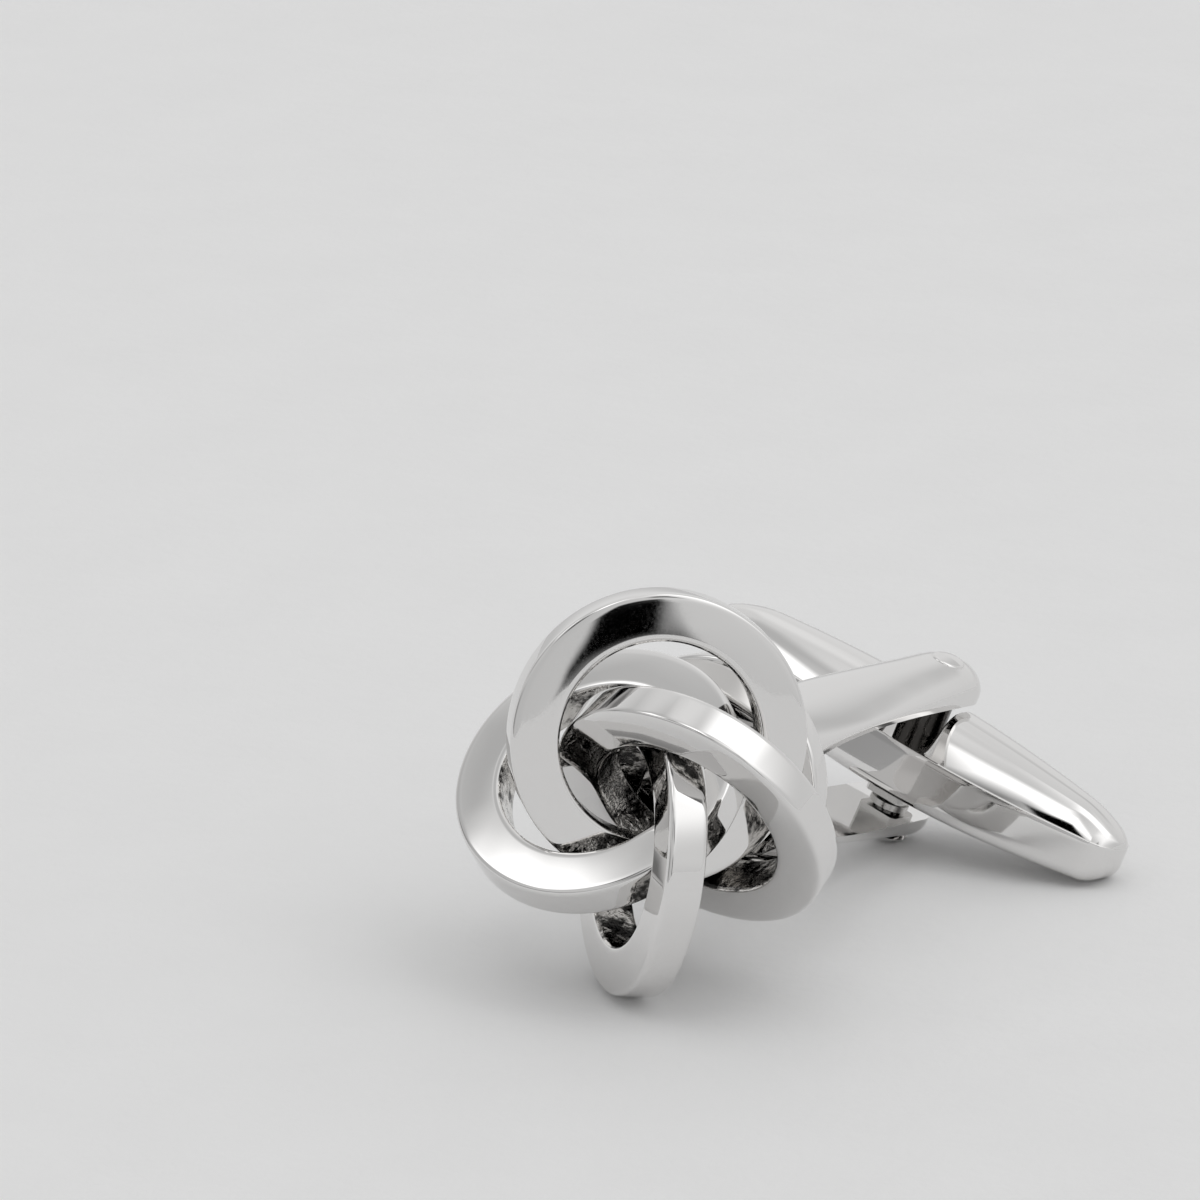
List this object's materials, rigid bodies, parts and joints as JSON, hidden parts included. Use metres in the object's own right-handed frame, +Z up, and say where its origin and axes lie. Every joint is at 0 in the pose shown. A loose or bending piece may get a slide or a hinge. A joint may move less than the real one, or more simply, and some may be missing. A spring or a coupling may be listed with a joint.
{
  "type": "cufflink",
  "caption": "Polished metal cufflink: interlinked flat rings form a knot on a round backing disc, with a forked post and a swivelling tapered toggle bar.",
  "frame": {"origin": "middle of the bounding box's footprint, on the surface that the link lies on", "axes": "+Z up from the surface, -Y the way the knot faces, +X towards the toggle tip that touches the surface"},
  "size_m": [0.0182, 0.0252, 0.0146],
  "materials": {
    "polished_plate": "mirror polished rhodium plate over cast metal, left as cast inside the rings",
    "steel": "plain bright steel"
  },
  "bodies": {
    "link": {"ring_top": "polished_plate", "ring_left": "polished_plate", "ring_bottom": "polished_plate", "ring_right": "polished_plate", "back_disc": "polished_plate", "post_fork": "polished_plate", "pivot_pin": "polished_plate", "spring_washer": "steel"},
    "toggle": {"toggle_bar": "polished_plate", "square_hub": "steel", "spacer_collar": "steel"}
  },
  "joints": [
    {"name": "toggle_swivel", "type": "hinge", "parent": "link", "child": "toggle", "pos_m": [-0.0001, 0.01019, 0.00374], "axis": [0.3193, 0.1811, 0.9302], "range_deg": [-90, 90]}
  ]
}
